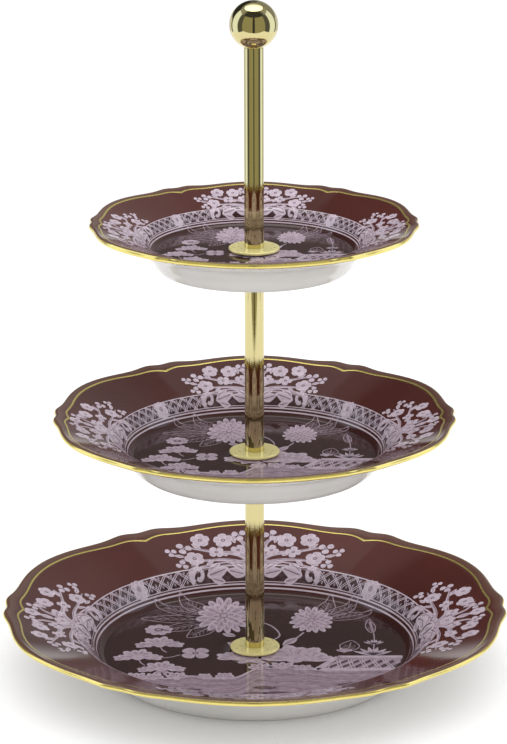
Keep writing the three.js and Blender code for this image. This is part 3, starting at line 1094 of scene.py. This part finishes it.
def well_flowers():
    e = Enamel()
    blossom(e, (-0.13, 0.37), 0.23, 0.42)
    blossom(e, (0.235, 0.318), 0.185, 0.3)
    for x, y, heading, length, width in BLOSSOM_LEAVES:
        outlined_leaf(e, (x, y), heading, length, width, 2)
    e.stroke(curve([(0.03, 0.06), (0.1, 0.14), (0.07, 0.25), (0.0, 0.32)]), 0.007, 0.85, 3)
    e.stroke(curve([(0.2, 0.18), (0.16, 0.1), (0.12, 0.03)]), 0.008, 0.85, 3)
    leaf(e, (0.17, 0.12), 235, 0.1, 0.045, 4)
    leaf(e, (-0.08, 0.14), 150, 0.06, 0.04, 4)
    flower(e, (-0.395, 0.213), 0.058, 10, 9, 4, 0.5)
    for (x, y), size in (((-0.387, 0.045), 0.085), ((-0.47, -0.093), 0.085), ((-0.373, -0.217), 0.08)):
        tuft(e, (x, y), size, (165, 135, 105, 75, 45, 15), 4, 1.15)
        tuft(e, (x - 0.045, y - 0.01), size * 0.7, (190, 160, 130), 8)
        tuft(e, (x + 0.045, y - 0.005), size * 0.7, (50, 20, -10), 8)
        e.stroke(curve([(x, y), (x + 0.012, y - 0.05), (x + 0.03, y - 0.08)]), 0.005, 0.85, 3)
    flower(e, (-0.24, -0.044), 0.062, 45, 4, 5, 0.34)
    e.stroke(curve([(-0.3, -0.06), (-0.35, -0.09), (-0.42, -0.09)]), 0.005, 0.8, 2)
    for heading in (230, 250, 290, 310):
        leaf(e, (-0.37, -0.22), heading, 0.06, 0.014, 2, False)
    tuft(e, (0.16, -0.11), 0.16, (172, 148, 124, 100, 76, 52, 28, 4), 8, 0.95)
    tuft(e, (0.23, -0.11), 0.09, (120, 80, 40, 0), 12)
    tuft(e, (-0.08, -0.1), 0.085, (180, 150, 120, 90, 60, 20), 4)
    tuft(e, (-0.02, -0.13), 0.06, (200, 160, 120, 60, 20, -20), 6)
    leaf(e, (-0.05, 0.02), 140, 0.08, 0.045, 4)
    e.stroke(curve([(0.02, -0.12), (0.05, -0.16), (0.06, -0.22)]), 0.009, 0.85, 3)
    for k, (x, y, size) in enumerate(((0.02, -0.19, 0.06), (0.11, -0.185, 0.07), (0.19, -0.2, 0.055))):
        tuft(e, (x, y - 0.02), size, (160, 125, 90, 55, 20), 6 + k)
    ground(e)
    trellis(e)
    reeds(e, 0.475, -0.07, 0.4)
    outlined_leaf(e, (0.375, -0.02), 80, 0.11, 0.08, 3, 3)
    tuft(e, (0.36, -0.03), 0.04, (150, 110, 70, 30), 4)
    e.tone = [WELL_TONE * tone for tone in e.tone]
    return e


plates = [Plate(tier) for tier in TIERS]
DECORATION = {"lattice_band": lattice_band(), "rim_sprays": rim_sprays(), "well_flowers": well_flowers()}
for p in plates:
    add_plate(p)
    add_rim_gilding(p)
    add_gold_line(p)
    for name, enamel in DECORATION.items():
        enamel.mesh_on(p, name)


# ---- studio ----

def add_floor():
    """A pale table top."""
    half, front, back, thick = 720, -600, 900, 4
    corners = ((-half, front), (half, front), (half, back), (-half, back))
    points = [(x, y, z) for z in (0, -thick) for x, y in corners]
    faces = [(0, 1, 2, 3), (7, 6, 5, 4), (0, 4, 5, 1), (1, 5, 6, 2), (2, 6, 7, 3), (3, 7, 4, 0)]
    mesh = bpy.data.meshes.new("table")
    mesh.from_pydata([tuple(c * MM for c in p) for p in points], [], faces)
    s = Shader("table_white")
    s.tones((3, 2), 0.96, 0.98)
    s.set(Roughness=0.9, Specular_IOR_Level=0.1)
    mesh.materials.append(s.material)
    floor = bpy.data.objects.new("table", mesh)
    bpy.context.scene.collection.objects.link(floor)


# Brightness of the studio in reflections, and at the end in diffuse light and to the camera.
SOFT_BOX = (1.2, 1.3, 1.5)  # the side boxes; a little cool, because the brass they shine on is yellow
FRONT_PANEL = (0.4, 0.38, 0.25)
WALL = 0.85
BEHIND = (0.03, 0.13, 0.33)  # the wall behind the stand above the horizon, from left to right
CANOPY = (2.8, 0.5)  # the round light overhead, from the front to the back
CANOPY_CENTRE = 0.2
CANOPY_RADII = (0.49, 0.46)
KEY = 1.6  # diffuse light from the front right
WHITE = 1.05  # what the camera sees


def add_world():
    """The studio, by direction; azimuth 0 is the camera's side."""
    world = bpy.data.worlds.new("studio")
    world.use_nodes = True
    w = Nodes(world.node_tree)
    w.tree.nodes.clear()
    coords = w.node("ShaderNodeTexCoord")
    split = w.node("ShaderNodeSeparateXYZ")
    w.link(coords.outputs["Generated"], split.inputs[0])
    x, y, z = split.outputs
    azimuth = w.math("ABSOLUTE", w.math("ARCTAN2", x, w.math("MULTIPLY", y, -1.0)))
    azimuth = w.math("DIVIDE", azimuth, math.pi)
    elevation = w.math("DIVIDE", w.math("ARCSINE", z), math.pi / 2)

    def by_azimuth(*stops):
        return w.ramp(azimuth, [(degrees / 180, value) for degrees, value in stops])

    walls = by_azimuth(
        (5, 0.05), (6.2, FRONT_PANEL), (54, FRONT_PANEL), (57, 0.12), (80, 0.12), (84, SOFT_BOX),
        (117, SOFT_BOX), (120, 0.15), (126, 0.15), (130, WALL),
    )
    left, middle, right = BEHIND
    across = w.math("MULTIPLY_ADD", x, 0.5, 0.5)
    back = w.ramp(across, [(0.44, left), (0.465, middle), (0.535, middle), (0.56, right)])
    behind = by_azimuth((118, 0.0), (128, 1.0))
    risen = w.ramp(elevation, [(0.03, 0.0), (0.09, 1.0)])
    room = w.mix(w.math("MULTIPLY", behind, risen), walls, back)
    high = w.ramp(elevation, [(0.46, 0.0), (0.5, 1.0)])
    room = w.mix(high, room, by_azimuth((60, 0.05), (85, 0.42), (125, 0.42), (150, 0.25)))
    dx = w.math("DIVIDE", x, CANOPY_RADII[0])
    dy = w.math("DIVIDE", w.math("SUBTRACT", y, CANOPY_CENTRE), CANOPY_RADII[1])
    spread = w.math("ADD", w.math("MULTIPLY", dx, dx), w.math("MULTIPLY", dy, dy))
    overhead = w.math("MULTIPLY", w.math("LESS_THAN", spread, 1.0), w.math("GREATER_THAN", z, 0.0))
    front, rear = CANOPY
    glossy = w.mix(overhead, room, w.ramp(y, [(0.3, front), (0.55, rear)]))

    path = w.node("ShaderNodeLightPath")
    diffuse = w.ramp(elevation, [(0.0, 0.99), (0.25, 1.06), (1.0, 1.6)])
    towards_key = w.math("MULTIPLY_ADD", x, 0.34, w.math("MULTIPLY", y, -0.3))
    keyed = w.mix(w.math("MAXIMUM", towards_key, 0.0), diffuse, grey(KEY))
    lit = w.mix(path.outputs["Is Glossy Ray"], keyed, glossy)
    background = w.node("ShaderNodeBackground")
    w.link(w.mix(path.outputs["Is Camera Ray"], lit, grey(WHITE)), background.inputs["Color"])
    output = w.node("ShaderNodeOutputWorld")
    w.link(background.outputs[0], output.inputs[0])
    bpy.context.scene.world = world


add_floor()
add_world()
bpy.context.scene.view_settings.view_transform = "Standard"
